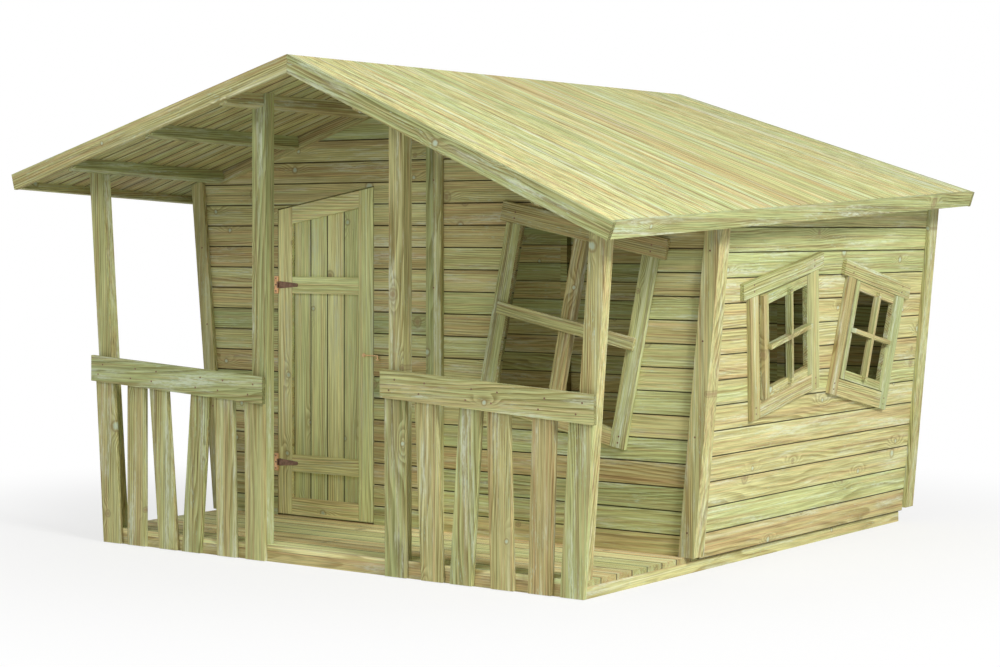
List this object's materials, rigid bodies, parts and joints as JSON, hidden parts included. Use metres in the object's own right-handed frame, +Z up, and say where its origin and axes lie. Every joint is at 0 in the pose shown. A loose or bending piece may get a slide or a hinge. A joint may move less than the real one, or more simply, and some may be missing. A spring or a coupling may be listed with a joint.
{
  "type": "playhouse",
  "caption": "Crooked timber playhouse with a covered veranda, slanted pickets, a hinged plank door, a tilted open front window and hinged side windows.",
  "frame": {"origin": "on the ground, under the middle of the ridge", "axes": "+X to the right seen from the front, +Y from the veranda to the rear wall, +Z up"},
  "size_m": [2.6957, 2.514, 1.7319],
  "materials": {
    "deck_wood": "rough sawn, pressure treated",
    "wall_wood": "planed, pressure treated",
    "trim_wood": "planed, pressure treated",
    "roof_wood": "finely reeded, pressure treated",
    "door_wood": "planed, pressure treated",
    "hinge_metal": "coppered, satin"
  },
  "bodies": {
    "house": {"base_side_beam_left": "deck_wood", "base_side_beam_right": "deck_wood", "base_front_beam": "deck_wood", "base_rear_beam": "deck_wood", "base_middle_joist": "deck_wood", "veranda_deck": "deck_wood", "house_floor": "deck_wood", "front_wall_left": "wall_wood", "front_wall_right": "wall_wood", "rear_wall": "wall_wood", "left_wall": "wall_wood", "right_wall": "wall_wood", "corner_trim_front_left": "trim_wood", "corner_trim_front_right": "trim_wood", "corner_trim_rear_left": "trim_wood", "corner_trim_rear_right": "trim_wood", "front_cover_batten": "trim_wood", "outer_post_left": "trim_wood", "outer_post_right": "trim_wood", "middle_post_left": "trim_wood", "middle_post_right": "trim_wood", "hand_rail_left": "trim_wood", "hand_rail_right": "trim_wood", "picket_left_1": "trim_wood", "picket_left_2": "trim_wood", "picket_left_3": "trim_wood", "picket_left_4": "trim_wood", "picket_left_5": "trim_wood", "picket_left_6": "trim_wood", "picket_right_1": "trim_wood", "picket_right_2": "trim_wood", "picket_right_3": "trim_wood", "picket_right_4": "trim_wood", "picket_right_5": "trim_wood", "picket_right_6": "trim_wood", "front_window_frame": "trim_wood", "front_window_bars": "trim_wood", "side_window_frame_front": "trim_wood", "side_window_frame_rear": "trim_wood", "roof_frame_left": "trim_wood", "roof_frame_right": "trim_wood", "barge_front_left": "trim_wood", "barge_front_right": "trim_wood", "barge_rear_left": "trim_wood", "barge_rear_right": "trim_wood", "fascia_left": "trim_wood", "fascia_right": "trim_wood", "roof_panel_left": "roof_wood", "roof_panel_right": "roof_wood", "hinge_plate_lower": "hinge_metal", "hinge_plate_upper": "hinge_metal", "latch_eye": "hinge_metal"},
    "door": {"door_boards": "door_wood", "door_frame": "door_wood", "hinge_strap_lower": "hinge_metal", "hinge_strap_upper": "hinge_metal", "latch_pin": "hinge_metal"},
    "hook": {"latch_hook": "hinge_metal"},
    "sash_front": {"side_window_sash_front": "trim_wood"},
    "sash_rear": {"side_window_sash_rear": "trim_wood"}
  },
  "joints": [
    {"name": "door_swing", "type": "hinge", "parent": "house", "child": "door", "pos_m": [-0.766, -0.4503, 0.6], "axis": [0, 0, -1], "range_deg": [0, 110]},
    {"name": "hook_turn", "type": "hinge", "parent": "door", "child": "hook", "pos_m": [-0.333, -0.455, 0.684], "axis": [0, -1, 0], "range_deg": [0, 120]},
    {"name": "sash_front_swing", "type": "hinge", "parent": "house", "child": "sash_front", "pos_m": [1.16633, 0.22964, 0.81453], "axis": [0.0924, -0.1908, 0.9773], "range_deg": [-2.4, 90]},
    {"name": "sash_rear_swing", "type": "hinge", "parent": "house", "child": "sash_rear", "pos_m": [1.1636, 0.52636, 0.78566], "axis": [-0.0924, -0.1908, -0.9773], "range_deg": [0, 90]}
  ]
}
